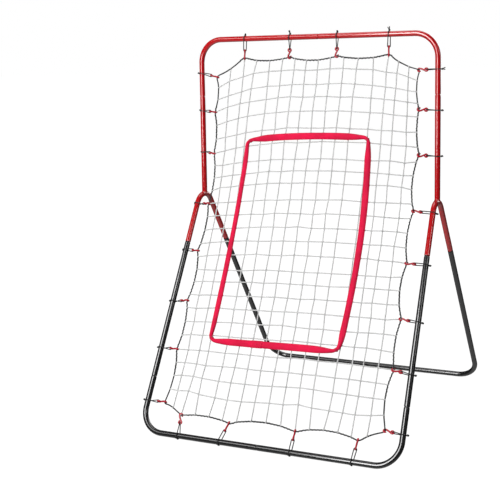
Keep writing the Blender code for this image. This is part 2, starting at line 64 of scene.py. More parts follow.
# Frame, between tube centres
TOP_WIDTH = 0.895
FOOT_SPLAY = 0.018
ARCH_RISE = 0.752
UPRIGHT_LENGTH = 0.558
UPRIGHT_LEAN = 0.024
FRONT_REACH = 0.463
REAR_REACH = 0.496
FRONT_LEG_SETBACK = 0.036
REAR_LEG_SETBACK = 0.025
CORNER_BEND = 0.080
ARCH_BEND = 0.0535
BEND_STEPS = 28

# Where the tubes are joined, as a share of the run they are on
UPRIGHT_SEAM = 0.36
Y_FRONT_SEAM = 0.21
Y_REAR_SEAM = 0.25
FOOT_SEAM = 0.78
TOP_SEAM_X = 0.016
BOTTOM_SEAM_X = -0.018

# Elastic loops and S-hooks
CORD_R = 0.0013
LOOP_GAP = 0.0005
LOOK_CORD_R = 0.0017
WIRE_R = 0.0029
EYE_R = 0.0049
HOOK_R = 0.0050
EYE_TO_ROPE = 0.0236
LOOP_REACH = 0.068
SIDE_SHARES = ((0.212, 0.454, 0.726), (0.039, 0.247, 0.469, 0.665, 0.880))
TOP_LOOPS_X = (-0.268, -0.091, 0.088, 0.277)
BOTTOM_LOOPS_X = (-0.316, -0.159, 0.099, 0.312)
BOTTOM_HOOKS_X = (-0.318, -0.135, 0.106, 0.322)
TOP_HOOK_SLOPE = 0.12
BOTTOM_HOOK_SLOPE = 0.45
# The taut net draws the side hooks forward, by degrees from straight inward. They rise or dip a little too.
SIDE_TILTS_DEG = (5, 19, 26, 23, 20, 10, 5, 0)
SIDE_LIFTS_DEG = {"left": (-13, -4, -1, 4, 4, 8, 2, 1), "right": (-2, 4, 5, 7, 6, 9, 12, 5)}
SIDE_REACHES = {
    "left": (LOOP_REACH,) * 8,
    "right": (0.063, 0.062, 0.062, 0.064, 0.062, 0.056, 0.058, 0.059),
}
HOOK_TURNS = {
    "top": (70, 160, 170, 65),
    "bottom": (15, -70, -75, -68),
    "left": (75, 85, 95, 80, 100, 85, 90, 80),
    "right": (-165, 15, 20, -150, 40, -140, 30, -150),
}
ROPE_THREADING = 0.0058
LONG_TAILS = ("top_2", "top_4", "right_1")

# Net, rope and strap. Net places are counted in mesh columns from the left and rows from the top.
COLUMNS = 16
ROWS = 25
# In half meshes
WIDE = 2 * COLUMNS
TALL = 2 * ROWS
HOOK_PLACES = {
    "top": (2, 5.5, 9.5, 13),
    "bottom": (2, 5.5, 10, 14.5),
    "left": (0, 3, 6, 10, 13.5, 17.5, 21, 25),
    "right": (0, 3.5, 6.5, 10.5, 14, 18, 21, 25),
}
ROW_PULL = 1.0
COLUMN_PULL = 2.0
FIRST_ROW_PULL = 2.7
LAST_ROW_PULL = 1.5
LONG_ROWS = (4, 6, 9, 14, 20, 23)
SHORT_ROWS = (2, 7, 8, 15)
LONG_COLUMNS = (3, 11)
SHORT_COLUMNS = (2, 13)
UNEVEN_PULL = 0.30
END_COLUMN_PULL = 1.35
HOOK_SLACK = 0.6
SIDE_ROPE_PULL = 14.0
END_ROPE_PULL = 30.0
STRAP_WIDTH = 0.025
STRAP_THICKNESS = 0.0012
STRAP_CORNERS = ((3.25, 5.6), (12.1, 5.6), (11.95, 20.37), (3.02, 20.33))
STRAP_BOW = 0.31

# The front bar stands on the loops that wrap under it, and the rear bar stands on the floor.
LOOP_OUTER_R = TUBE_R + LOOP_GAP + 2 * CORD_R
FRONT_BAR_Z = LOOP_OUTER_R + 0.0001
REAR_BAR_Z = TUBE_R
ARCH_Y = (FRONT_REACH + LOOP_OUTER_R - REAR_REACH - TUBE_R) / 2
ARCH_Z = FRONT_BAR_Z + ARCH_RISE
TOP_Z = ARCH_Z + UPRIGHT_LENGTH
HALF_WIDTH = TOP_WIDTH / 2

# Looks only: tube ends and welds
TUBE_SHARP_DEG = 35
WELD_R = 0.0016
WELD_STEP = 0.0007

# Looks only: hooks and loops
HOOK_BALL_R = 0.0025
HOOK_NECK = ((-0.0162, -0.0009, 0), (-0.0128, 0.0008, 0), (-0.0088, 0.0028, 0), (-0.0052, 0.0043, 0))
HOOK_TIP = ((-0.0038, -0.0052, 0), (-0.0052, -0.0061, 0))
LOOP_WRAP_DEG = 105
LOW_KNOT_DEG = 62
LOOP_LEAVES_DEG = 33
LOOP_KNOT_SIZE = 0.00085
LONG_TAIL = (0.0090, 0.0100)
SHORT_TAIL = (0.0022, 0.0036)
TAIL_BOW = 0.0022

# Looks only: cords, knots and webbing
NET_CORD_R = 0.0021
NET_CORD_PITCH = 0.024
CORD_STEP = 0.0024
KNOT_WANDER = 0.0011
JOINT_REACH = 0.0023
JOINT_HEIGHT = 0.0024
JOINT_STRAND_R = 0.00045
ROPE_STRAND_R = 0.00122
ROPE_HELIX_R = 0.00126
ROPE_PITCH = 0.017
ROPE_STEP = 0.0016
LACE_R = 0.00070
LACE_PITCH = 0.0125
LACE_GAP = 0.10
STRAP_STEP = 0.004
STRAP_LIFT = 0.0032
STRAP_CORNER = 0.34
PINCH_REACH = 0.060
PINCH_CURL = 5.0
LEVEL_CURL = 1.3
SIDE_CURLS = (2.5, 1.9)
STRAP_LAP = 0.045
MESH_SIZE = 0.048
RIB_PITCH = 0.0021
WARP_LINES = 11
HITCH_R = 0.0026
HITCH_CORD_R = 0.00095
SEAM_THREAD_R = 0.00035
SEAM_STITCH = 0.00015
WHIPPING_R = 0.00052
WHIPPING_TURNS = 4
WHIPPING_PITCH = 0.0011
WHIPPING_REACH = (0.0064, 0.0085)

# The view, and the studio
VIEW_DEG = (24.49, 8.90, -1.51)
VIEW_HEIGHT = 0.7
VIEW_DISTANCE = 3.597
LENS_MM = 73.5
LENS_SHIFT = (-0.131, -0.0758)
FLOOR_HALF = 60.0
# Each light's name, place, target, width, height and power in watts
LIGHTS = (
    ("key", (-0.8, -4.2, 2.3), (0, 0, 0.7), 1.4, 3.2, 202),
    ("high", (-2.2, -3.5, 3.2), (0, -0.4, 0), 1.6, 1.4, 40),
    ("fill", (3.6, -1.2, 2.6), (0, 0, 0.6), 0.5, 1.6, 20),
    ("top", (-0.3, 0.8, 4.0), (0, 0, 0), 2.4, 2.4, 40),
    ("back", (0.9, 4.4, 2.4), (0, 0, 0.7), 3.0, 3.0, 110),
)

rng = np.random.default_rng(31)


def unit(v):
    """A vector, or each row of an array, made one long."""
    return v / np.linalg.norm(v, axis=-1, keepdims=True)


def towards(v, way):
    """The vector, turned round if it points away from way."""
    return v if v @ way > 0 else -v


def along(a, b, share):
    return np.asarray(a) + (np.asarray(b) - np.asarray(a)) * share


def eased(t):
    t = np.clip(t, 0, 1)
    return t * t * (3 - 2 * t)


# -------- paths


def rounded_path(corners, radii, steps=BEND_STEPS):
    """The corners joined by straight runs, with an arc at each inner corner."""
    corners = [np.asarray(c, float) for c in corners]
    path = [corners[0]]
    for before, corner, after, radius in zip(corners, corners[1:], corners[2:], radii):
        to_before = unit(before - corner)
        to_after = unit(after - corner)
        half = math.acos(float(np.clip(to_before @ to_after, -1, 1))) / 2
        centre = corner + unit(to_before + to_after) * radius / math.sin(half)
        start = corner + to_before * radius / math.tan(half) - centre
        end = corner + to_after * radius / math.tan(half) - centre
        sweep_angle = math.pi - 2 * half
        t = np.linspace(0, sweep_angle, steps + 1)[:, None]
        arc = (start * np.sin(sweep_angle - t) + end * np.sin(t)) / math.sin(sweep_angle)
        path += list(centre + arc)
    path.append(corners[-1])
    return np.array(path)


def lengths_along(path, closed=False):
    """Each point's distance along the path. A closed path has its whole length last."""
    steps = np.diff(path, axis=0, append=path[:1]) if closed else np.diff(path, axis=0)
    return np.concatenate([[0], np.cumsum(np.linalg.norm(steps, axis=1))])


def point_at(path, distance):
    """A point on the path. Before its start or past its end the path goes straight on."""
    at = lengths_along(path)
    k = int(np.clip(np.searchsorted(at, distance) - 1, 0, len(path) - 2))
    share = (distance - at[k]) / (at[k + 1] - at[k])
    return along(path[k], path[k + 1], share)


def softened(path, rounds, closed):
    """The path with its corners cut, again and again, so that it flows."""
    path = np.asarray(path, float)
    for _ in range(rounds):
        after = np.roll(path, -1, axis=0)
        cut = np.stack([path * 0.75 + after * 0.25, path * 0.25 + after * 0.75], axis=1)
        cut = cut.reshape(-1, path.shape[1])
        path = cut if closed else np.concatenate([path[:1], cut[:-2], path[-1:]])
    return path


def evenly(path, step, closed=False):
    """The path with a point about every step."""
    if closed:
        path = np.concatenate([path, path[:1]])
    at = lengths_along(path)
    count = max(int(round(at[-1] / step)), 3)
    wanted = np.linspace(0, at[-1], count + 1)[:count + (0 if closed else 1)]
    return np.stack([np.interp(wanted, at, path[:, axis]) for axis in range(path.shape[1])], axis=1)


def path_axes(points, hint, closed):
    """(tangents, first axes, second axes) along a path. The axes turn as little as they can."""
    after = np.roll(points, -1, axis=0) - points
    if not closed:
        after[-1] = after[-2]
    after = unit(after)
    before = np.roll(after, 1, axis=0)
    if not closed:
        before[0] = after[0]
    tangents = unit(before + after)
    first = np.empty_like(points)
    axis = np.asarray(hint, float)
    for k, tangent in enumerate(tangents):
        axis = axis - tangent * (axis @ tangent)
        axis = axis / math.sqrt(axis @ axis)
        first[k] = axis
    second = np.cross(tangents, first)
    if closed:
        came_back = axis - tangents[0] * (axis @ tangents[0])
        left_over = math.atan2(came_back @ second[0], came_back @ first[0])
        angle = (-left_over * np.arange(len(points)) / len(points))[:, None]
        cos, sin = np.cos(angle), np.sin(angle)
        first, second = first * cos + second * sin, second * cos - first * sin
    return tangents, first, second


# -------- meshes


def circle(count):
    """Angles all the way round."""
    return 2 * math.pi * np.arange(count) / count


def ring(sides, radius=1.0, lobes=0, depth=0.0):
    """A round outline, or one with lobes standing out of it."""
    angle = circle(sides)
    reach = radius * (1 + depth * np.cos(lobes * angle))
    return np.stack([reach * np.cos(angle), reach * np.sin(angle)], axis=1)


def skin(rings, at, closed):
    """(points, faces, places) of a skin over rings, with flat ends unless it is closed. A place is (metres
    along, share of the way round)."""
    count, sides = rings.shape[:2]
    run, side = np.meshgrid(np.arange(count if closed else count - 1), np.arange(sides), indexing="ij")
    here = run * sides
    there = (run + 1) % count * sides
    after = (side + 1) % sides
    faces = np.stack([here + side, here + after, there + after, there + side], axis=2)
    near, far, low = at[run], at[run + 1], side / sides
    high = low + 1 / sides
    places = np.stack([near, low, near, high, far, high, far, low], axis=2)
    faces = faces.reshape(-1, 4).tolist()
    places = places.reshape(-1, 2)
    if not closed:
        faces += [list(range(sides))[::-1], list(range((count - 1) * sides, count * sides))]
        places = np.concatenate([places, np.zeros((sides, 2)), np.full((sides, 2), (at[-1], 0))])
    return rings.reshape(-1, 3), faces, places


def sweep(points, section, hint, closed=False, turns=0, scale=1.0):
    """The section carried along the path, turning as it goes."""
    points = np.asarray(points, float)
    _, first, second = path_axes(points, hint, closed)
    at = lengths_along(points, closed)
    angle = (2 * math.pi * turns * at / at[-1])[:len(points), None]
    cos, sin = np.cos(angle), np.sin(angle)
    size = np.broadcast_to(scale, len(points))[:, None]
    x = (section[:, 0] * cos - section[:, 1] * sin) * size
    y = (section[:, 0] * sin + section[:, 1] * cos) * size
    rings = points[:, None] + first[:, None] * x[:, :, None] + second[:, None] * y[:, :, None]
    return skin(rings, at, closed)


def placed(name, data):
    obj = bpy.data.objects.new(name, data)
    bpy.context.scene.collection.objects.link(obj)
    return obj


class Pile:
    """Shapes gathered into one mesh."""

    def __init__(self):
        self.points = []
        self.faces = []
        self.places = []
        self.kinds = []

    def add(self, points, faces, places, kinds=None):
        start = sum(map(len, self.points))
        self.faces += [[i + start for i in face] for face in faces]
        self.points.append(points)
        self.places.append(places)
        self.kinds += kinds or [0] * len(faces)

    def mesh(self, name, materials, sharp_deg=None):
        mesh = bpy.data.meshes.new(name)
        mesh.from_pydata(np.concatenate(self.points).tolist(), [], self.faces)
        places = mesh.uv_layers.new(name="Along")
        places.data.foreach_set("uv", np.concatenate(self.places).ravel())
        mesh.polygons.foreach_set("material_index", self.kinds)
        for material in materials:
            mesh.materials.append(material)
        mesh.shade_smooth()
        if sharp_deg:
            mesh.set_sharp_from_angle(angle=math.radians(sharp_deg))
        return mesh

    def piece(self, name, materials, nodes=(), body="net_assembly", sharp_deg=None):
        return settle(placed(name, self.mesh(name, materials, sharp_deg)), body, nodes)


def settle(obj, body, nodes=()):
    """Puts a piece on its body, in place of its CAD nodes."""
    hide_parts(*nodes)
    if body:
        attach(obj, body)
    return obj


# -------- materials


def add(tree, kind, inputs=None, **settings):
    """A shader node. Its inputs are given by name or number, as values or as other nodes' outputs."""
    node = tree.nodes.new("ShaderNode" + kind)
    for key, value in settings.items():
        setattr(node, key, value)
    for key, value in (inputs or {}).items():
        if isinstance(value, bpy.types.NodeSocket):
            tree.links.new(value, node.inputs[key])
        else:
            node.inputs[key].default_value = value
    return node


def maths(tree, operation, *values, clamp=False):
    return add(tree, "Math", dict(enumerate(values)), operation=operation, use_clamp=clamp).outputs[0]


def spread(tree, value, to_low, to_high, low=0.3, high=0.7):
    """The value, carried from one range to another. Most noise lies between 0.3 and 0.7."""
    return add(tree, "MapRange", {"Value": value, "From Min": low, "From Max": high,
                                  "To Min": to_low, "To Max": to_high}).outputs["Result"]


def noise(tree, scale, detail=2.0, roughness=0.5):
    """Noise in the piece's own space."""
    place = add(tree, "TexCoord").outputs["Object"]
    return add(tree, "TexNoise", {"Vector": place, "Scale": scale, "Detail": detail,
                                  "Roughness": roughness}).outputs["Fac"]


def blended(tree, factor, dark, light):
    """Between two colours, each three numbers or another node's output."""
    dark, light = [c if isinstance(c, bpy.types.NodeSocket) else (*c, 1) for c in (dark, light)]
    return add(tree, "Mix", {0: factor, 6: dark, 7: light}, data_type="RGBA").outputs[2]


def new_material(name, **constants):
    material = bpy.data.materials.new(name)
    material.use_nodes = True
    tree = material.node_tree
    for key, value in constants.items():
        socket = key.replace("_", " ").title().replace("Ior", "IOR")
        tree.nodes["Principled BSDF"].inputs[socket].default_value = value
    return material, tree


def surfaced(material, colour, roughness, height, strength, distance):
    """The material, with its colour, roughness and fine bumps joined to its shader."""
    tree = material.node_tree
    bumps = add(tree, "Bump", {"Height": height, "Strength": strength, "Distance": distance})
    for key, value in (("Base Color", colour), ("Roughness", roughness), ("Normal", bumps.outputs["Normal"])):
        tree.links.new(value, tree.nodes["Principled BSDF"].inputs[key])
    return material


def paint(name, colour, deep):
    """Gloss powder coat: a faint orange peel, a slow drift of tone and a few duller patches."""
    material, tree = new_material(name, specular_ior_level=0.85)
    tone = maths(tree, "MULTIPLY_ADD", noise(tree, 900.0, 1.0), 0.25, noise(tree, 9.0, 3.0))
    shade = blended(tree, spread(tree, tone, 0, 1, 0.40, 0.85), deep, colour)
    rubbed = spread(tree, noise(tree, 34.0, 5.0, 0.65), 0.12, 0.16, 0.35, 0.75)
    return surfaced(material, shade, rubbed, noise(tree, 620.0), 0.02, 0.0002)


def grained(name, dark, light, cloud, grain, gloss, strength, **constants):
    """A cloudy tone and a fine grain: scratched bare steel, or moulded plastic."""
    material, tree = new_material(name, **constants)
    fine = noise(tree, *grain)
    shade = blended(tree, noise(tree, *cloud), dark, light)
    return surfaced(material, shade, spread(tree, fine, *gloss), fine, strength, 0.0002)


def yarn(tree, fibre_scale, drift_scale, drift_detail):
    """(metres along, share of the way round, fibres, drift of tone) on a cord or a strap."""
    parts = add(tree, "SeparateXYZ", {0: add(tree, "UVMap", uv_map="Along").outputs["UV"]})
    return (parts.outputs["X"], parts.outputs["Y"], noise(tree, fibre_scale, 3.0, 0.7),
            noise(tree, drift_scale, drift_detail))


def winding(tree, along_m, round_share, pitch, starts):
    """A wave that winds round a cord: -1 in its grooves, 1 on its ridges."""
    turn = maths(tree, "MULTIPLY", along_m, 2 * math.pi / pitch)
    around = maths(tree, "MULTIPLY", round_share, 2 * math.pi * starts)
    return maths(tree, "SINE", maths(tree, "ADD", turn, around))


def cord_material(name, dark, light, pitch, starts, roughness, sheen, braided=False):
    """Fibres that wind round a cord, or cross each other in a braid, with a little fuzz, and painted shade in
    the grooves.
    """
    material, tree = new_material(name, sheen_weight=sheen, sheen_roughness=0.5)
    along_m, round_share, fibre, drift = yarn(tree, 1400.0, 28.0, 2.0)
    wave = winding(tree, along_m, round_share, pitch, starts)
    if braided:
        wave = maths(tree, "MULTIPLY", wave, winding(tree, along_m, round_share, pitch, -starts))
    ridge = maths(tree, "MULTIPLY_ADD", wave, 0.5, 0.5)
    # The ridge wave darkens the colour in the grooves: painted shade. The same wave is the bump height below.
    tone = maths(tree, "MULTIPLY_ADD", fibre, 0.5, maths(tree, "MULTIPLY", ridge, 0.6))
    tone = maths(tree, "MULTIPLY", tone, spread(tree, drift, 0.8, 1.15), clamp=True)
    return surfaced(material, blended(tree, tone, dark, light),
                    spread(tree, fibre, roughness - 0.08, roughness + 0.08),
                    maths(tree, "MULTIPLY_ADD", fibre, 0.35, ridge), 0.6, 0.0004)


def webbing():
    """Flat webbing: cross ribs over fine warp lines, with painted shade between them and painted shade along
    both curled edges.
    """
    material, tree = new_material("strap_webbing", specular_ior_level=0.2, sheen_weight=0.08,
                                  sheen_roughness=0.4)
    along_m, across, fibre, drift = yarn(tree, 1600.0, 22.0, 3.0)
    rib = maths(tree, "SINE", maths(tree, "MULTIPLY", along_m, 2 * math.pi / RIB_PITCH))
    warp = maths(tree, "SINE", maths(tree, "MULTIPLY", across, 2 * math.pi * WARP_LINES))
    ridge = maths(tree, "MULTIPLY_ADD", maths(tree, "MULTIPLY", rib, warp), 0.5, 0.5)
    # Lighter on the raised weave and darker between: painted shade in the weave, from the same wave as the
    # bump height.
    tone = maths(tree, "MULTIPLY_ADD", fibre, 0.35, maths(tree, "MULTIPLY", ridge, 0.35))
    tone = maths(tree, "ADD", tone, spread(tree, drift, 0.0, 0.35), clamp=True)
    shade = blended(tree, tone, (0.42, 0.0008, 0.026), (0.95, 0.003, 0.072))
    # Darker towards both edges: painted shade where the strap's edges curl back, in the darker colour given
    # below.
    aside = maths(tree, "ABSOLUTE", maths(tree, "SUBTRACT", across, 0.5))
    curled_edge_shade = maths(tree, "MULTIPLY", spread(tree, aside, 0, 1, 0.40, 0.46), 0.55)
    height = maths(tree, "MULTIPLY_ADD", fibre, 0.3, ridge)
    return surfaced(material, blended(tree, curled_edge_shade, shade, (0.40, 0.0008, 0.028)),
                    spread(tree, fibre, 0.5, 0.7), height, 0.7, 0.0006)


RED = paint("red_paint", (0.50, 0.0030, 0.0065), (0.43, 0.0020, 0.0045))
BLACK = paint("black_paint", (0.014, 0.014, 0.0145), (0.010, 0.010, 0.0105))
STEEL = grained("bare_steel", (0.30, 0.30, 0.31), (0.52, 0.52, 0.53), (60.0, 3.0), (480.0, 4.0, 0.7),
                (0.28, 0.5), 0.15, metallic=1.0)
PLASTIC = grained("hook_plastic", (0.33, 0.0020, 0.012), (0.52, 0.0040, 0.024), (120.0,), (1500.0,),
                  (0.26, 0.40), 0.12, subsurface_weight=0.08, subsurface_scale=0.002)
ELASTIC = cord_material("elastic_cord", (0.003, 0.003, 0.003), (0.018, 0.018, 0.019), 0.0042, 4, 0.75, 0.08,
                        braided=True)
NET_CORD = cord_material("net_cord", (0.42, 0.42, 0.416), (0.74, 0.74, 0.735), 0.0028, 3, 0.80, 0.05)
ROPE = cord_material("border_rope", (0.006, 0.006, 0.0065), (0.036, 0.036, 0.038), 0.0032, 3, 0.80, 0.08)
LACE = cord_material("edge_lacing", (0.020, 0.020, 0.021), (0.09, 0.09, 0.093), 0.0020, 2, 0.80, 0.08)
WEBBING = webbing()
THREAD = cord_material("strap_thread", (0.42, 0.003, 0.030), (0.80, 0.010, 0.075), 0.0012, 2, 0.60, 0.10)


# -------- frame


def frame_points(side):
    """The frame's corners and seams on one side: -1 is left, +1 is right."""
    x = side * HALF_WIDTH
    at = {
        "top": np.array([x, ARCH_Y + UPRIGHT_LEAN, TOP_Z]),
        "arch": np.array([x, ARCH_Y, ARCH_Z]),
        "front_head": np.array([x, ARCH_Y - FRONT_LEG_SETBACK, ARCH_Z]),
        "rear_head": np.array([x, ARCH_Y + REAR_LEG_SETBACK, ARCH_Z]),
        "front_foot": np.array([side * (HALF_WIDTH + FOOT_SPLAY), ARCH_Y - FRONT_REACH, FRONT_BAR_Z]),
        "rear_foot": np.array([x, ARCH_Y + REAR_REACH, REAR_BAR_Z]),
    }
    at["upright_seam"] = along(at["arch"], at["top"], 1 - UPRIGHT_SEAM)
    at["front_seam"] = along(at["front_head"], at["front_foot"], Y_FRONT_SEAM)
    at["foot_seam"] = along(at["front_head"], at["front_foot"], FOOT_SEAM)
    at["rear_seam"] = along(at["rear_head"], at["rear_foot"], Y_REAR_SEAM)
    return at


def arch_apex(at):
    """Where the lines of the front and rear legs would meet, above the bend."""
    down_front = unit(at["front_foot"] - at["front_head"])
    down_rear = unit(at["rear_foot"] - at["rear_head"])
    gap = at["rear_head"][1] - at["front_head"][1]
    rise = gap / (down_rear[1] / -down_rear[2] - down_front[1] / -down_front[2])
    on_front = at["front_head"] + down_front / down_front[2] * rise
    on_rear = at["rear_head"] + down_rear / down_rear[2] * rise
    return (on_front + on_rear) / 2


def rounded_lip(start, radius):
    """Stops round an outer lip, and one past it that keeps the tube's highlight straight."""
    return [(start + LIP * share, radius - LIP * cut) for share, cut in ((0, 1), (0.3, 0.3), (1, 0), (3, 0))]


def end_stops(male):
    """(outer, inner) stops of a tube's end, as (distance from the seam into the tube, radius). A male end is
    swaged down to its spigot in a smooth shoulder."""
    if not male:
        return rounded_lip(0, TUBE_R), [(0, BORE_R + LIP), (LIP, BORE_R), (LIP * 3, BORE_R)]
    shoulder = [(SEAM_GAP + SWAGE_LENGTH * t, SPIGOT_R + (TUBE_R - SPIGOT_R) * float(eased(t)))
                for t in np.linspace(0, 1, 9)]
    outer = rounded_lip(-SPIGOT_LENGTH, SPIGOT_R) + shoulder + [(SEAM_GAP + SWAGE_LENGTH * 1.3, TUBE_R)]
    inner = [(-SPIGOT_LENGTH, SPIGOT_BORE_R + LIP), (LIP - SPIGOT_LENGTH, SPIGOT_BORE_R),
             (SEAM_GAP, SPIGOT_BORE_R), (2 * (SEAM_GAP + SWAGE_LENGTH), BORE_R)]
    return outer, inner


def tube_places(path, stops):
    """(points, radii, distances) at the stops, and at the path's own points between them."""
    stop_at = [s for s, _ in stops]
    corners = [s for s in lengths_along(path)[1:-1] if stop_at[0] < s < stop_at[-1]]
    every = np.array(sorted(set(round(float(s), 7) for s in stop_at + corners)))
    points = np.array([point_at(path, s) for s in every])
    return points, np.interp(every, stop_at, [r for _, r in stops]), every


def pipe(path, male_start, male_end, hint, start_cut=None):
    """(points, faces, places, kinds) of a tube between two seams. Faces of kind 1 aren't painted. start_cut
    gives the rings where the outside and the inside start instead."""
    length = lengths_along(path)[-1]
    round_tube = ring(TUBE_SIDES)
    rings, distances = [], []
    for near, far in zip(end_stops(male_start), end_stops(male_end)):
        points, radii, every = tube_places(path, near + [(length - s, r) for s, r in far[::-1]])
        _, first, second = path_axes(points, hint, False)
        rings.append(points[:, None] + radii[:, None, None] * (
            first[:, None] * round_tube[:, :1] + second[:, None] * round_tube[:, 1:]))
        distances.append(every)
    if start_cut is not None:
        rings[0][0], rings[1][0] = start_cut
    rings = np.concatenate([rings[0], rings[1][::-1]])
    every = np.concatenate([distances[0], distances[1][::-1]])
    middle = (every + np.roll(every, -1)) / 2
    bare = (male_start & (middle < SEAM_GAP)) | (male_end & (middle > length - SEAM_GAP))
    kinds = np.repeat(bare.astype(int), TUBE_SIDES).tolist()
    return (*skin(rings, np.append(every, every[0]), True), kinds)


def tube(node, path, hint, paint_used, body="frame", male_start=False, male_end=False):
    pile = Pile()
    pile.add(*pipe(path, male_start, male_end, hint))
    return pile.piece(node + "_painted", [paint_used, STEEL], [node], body, TUBE_SHARP_DEG)


def distance_to(path, point):
    starts, runs = path[:-1], np.diff(path, axis=0)
    share = np.clip(np.einsum("ij,ij->i", point - starts, runs) / np.einsum("ij,ij->i", runs, runs), 0, 1)
    return float(np.linalg.norm(starts + runs * share[:, None] - point, axis=1).min())


def saddle(start, way, radius, bent, depth):
    """The ring where a tube from start meets the bent tube, going depth into its wall."""
    _, first, second = path_axes(np.array([start, start + way]), (1, 0, 0), False)
    points = []
    for x, y in ring(TUBE_SIDES, radius):
        edge = start + first[0] * x + second[0] * y
        low, high = 0.0, 4 * TUBE_R
        for _ in range(30):
            middle = (low + high) / 2
            inside = distance_to(bent, edge + way * middle) < TUBE_R - depth
            low, high = (middle, high) if inside else (low, middle)
        points.append(edge + way * high)
    return np.array(points)


def make_y_upright(word, at):
    """An upright welded onto a tube bent over into a front and a rear leg stub."""
    bent = rounded_path([at["front_seam"], arch_apex(at), at["rear_seam"]], [ARCH_BEND])
    pile = Pile()
    pile.add(*pipe(bent, False, False, (1, 0, 0)))
    way = unit(at["top"] - at["arch"])
    wall = TUBE_R - BORE_R
    cuts = [saddle(at["arch"], way, radius, bent, wall * 0.6) for radius in (TUBE_R, BORE_R)]
    low = at["arch"] + way * 1.9 * TUBE_R
    pile.add(*pipe(np.array([low, at["upright_seam"]]), False, True, (1, 0, 0), cuts))
    weld = evenly(softened(saddle(at["arch"], way, TUBE_R, bent, 0), 2, True), WELD_STEP, True)
    pile.add(*sweep(weld, ring(12, WELD_R), way, closed=True))
    node = f"{word}_y_upright"
    return pile.piece(node + "_painted", [RED, STEEL], [node], "frame", TUBE_SHARP_DEG)


def make_frame():
    left, right = frame_points(-1), frame_points(1)
    for side, at, word in ((-1, left, "left"), (1, right, "right")):
        make_y_upright(word, at)
        top_seam = np.array([TOP_SEAM_X, at["top"][1], TOP_Z])
        path = rounded_path([at["upright_seam"], at["top"], top_seam], [CORNER_BEND])
        tube(f"top_{word}_corner_tube", path, (0, 1, 0), RED, male_end=side > 0)
        leg = np.array([at["front_seam"], at["foot_seam"]])
        tube(f"{word}_front_leg", leg, (1, 0, 0), BLACK, male_start=True)
        bar_seam = np.array([BOTTOM_SEAM_X, at["front_foot"][1], FRONT_BAR_Z])
        path = rounded_path([at["foot_seam"], at["front_foot"], bar_seam], [CORNER_BEND])
        tube(f"bottom_{word}_corner_tube", path, (0, 1, 0), BLACK,
             male_start=True, male_end=side < 0)
    path = rounded_path([left["rear_seam"], left["rear_foot"], right["rear_foot"], right["rear_seam"]],
                        [CORNER_BEND] * 2)
    tube("rear_stand_tube", path, (0, 1, 0), BLACK, "rear_stand", True, True)


# -------- hooks and loops


def hook_axes(start, tube_way, rope_point, turn):
    """(out, across, facing, front): from tube to net, across the hook, square to it, the frame's front.
    The turn is about the hook's own length, in degrees."""
    out = unit(rope_point - start)
    front = towards(unit(np.cross(tube_way, out)), (0, -1, 0))
    level = np.cross(front, out)
    angle = math.radians(turn)
    across = level * math.cos(angle) + front * math.sin(angle)
    return out, across, np.cross(out, across), front


def hook_sites():
    """Every hook's (name, tube point, tube direction, rope point, axes, net place in half meshes)."""
    sites = []

    def add_site(word, k, start, tube_way, rope_point, column, row):
        axes = hook_axes(start, tube_way, rope_point, HOOK_TURNS[word][k])
        place = (round(2 * column), round(2 * row))
        sites.append((f"{word}_{k + 1}", start, tube_way, rope_point, axes, place))

    for word, loops_x, hooks_x, y, z, way, row in (
            ("top", TOP_LOOPS_X, TOP_LOOPS_X, ARCH_Y + UPRIGHT_LEAN, TOP_Z, (0, -TOP_HOOK_SLOPE, -1), 0),
            ("bottom", BOTTOM_LOOPS_X, BOTTOM_HOOKS_X, ARCH_Y - FRONT_REACH, FRONT_BAR_Z,
             (0, BOTTOM_HOOK_SLOPE, 1), ROWS)):
        for k, (x, hook_x) in enumerate(zip(loops_x, hooks_x)):
            start = np.array([x, y, z])
            aside = hook_x - x
            rope_point = start + (aside, 0, 0) + unit(way) * math.sqrt(LOOP_REACH ** 2 - aside ** 2)
            add_site(word, k, start, (1, 0, 0), rope_point, HOOK_PLACES[word][k], row)
    for side, word, column in ((-1, "left", 0), (1, "right", COLUMNS)):
        at = frame_points(side)
        runs = ((at["top"], at["arch"]), (at["front_head"], at["front_foot"]))
        starts = [(along(a, b, s), unit(b - a)) for (a, b), shares in zip(runs, SIDE_SHARES) for s in shares]
        for k, (start, tube_way) in enumerate(starts):
            tilt = math.radians(SIDE_TILTS_DEG[k])
            lift = math.radians(SIDE_LIFTS_DEG[word][k])
            inward = np.array([-side * math.cos(tilt) * math.cos(lift), -math.sin(tilt) * math.cos(lift),
                               math.sin(lift)])
            rope_point = start + inward * SIDE_REACHES[word][k]
            add_site(word, k, start, tube_way, rope_point, column, HOOK_PLACES[word][k])
    return sites


def hook_mesh():
    """A moulded S-hook along +X: a closed eye towards the tube, and an open hook with a ball at its tip round
    the rope, which passes through the origin."""
    eye = [(EYE_R * math.cos(a) - EYE_TO_ROPE, EYE_R * math.sin(a), 0)
           for a in np.radians(np.linspace(-8, 322, 34))]
    bend = [(HOOK_R * math.cos(a), HOOK_R * math.sin(a), 0) for a in np.radians(np.linspace(112, -118, 24))]
    path = evenly(softened([*eye, *HOOK_NECK, *bend, *HOOK_TIP], 2, False), 0.0009)
    at = lengths_along(path)
    left = at[-1] - at
    size = WIRE_R * (1 + 0.10 * np.exp(-((left - 0.020) / 0.012) ** 2))
    size *= np.sqrt(1 - (1 - np.clip(at / WIRE_R, 0.08, 1)) ** 2)
    ball = np.sqrt(np.clip(HOOK_BALL_R ** 2 - (left - HOOK_BALL_R) ** 2, (0.08 * HOOK_BALL_R) ** 2, None))
    tip = np.maximum(size * eased(left / HOOK_BALL_R - 0.9), ball)
    size = np.where(left < 2 * HOOK_BALL_R, tip, size)
    pile = Pile()
    pile.add(*sweep(path, ring(12), (0, 0, 1), scale=size))
    return pile.mesh("hook", [PLASTIC])


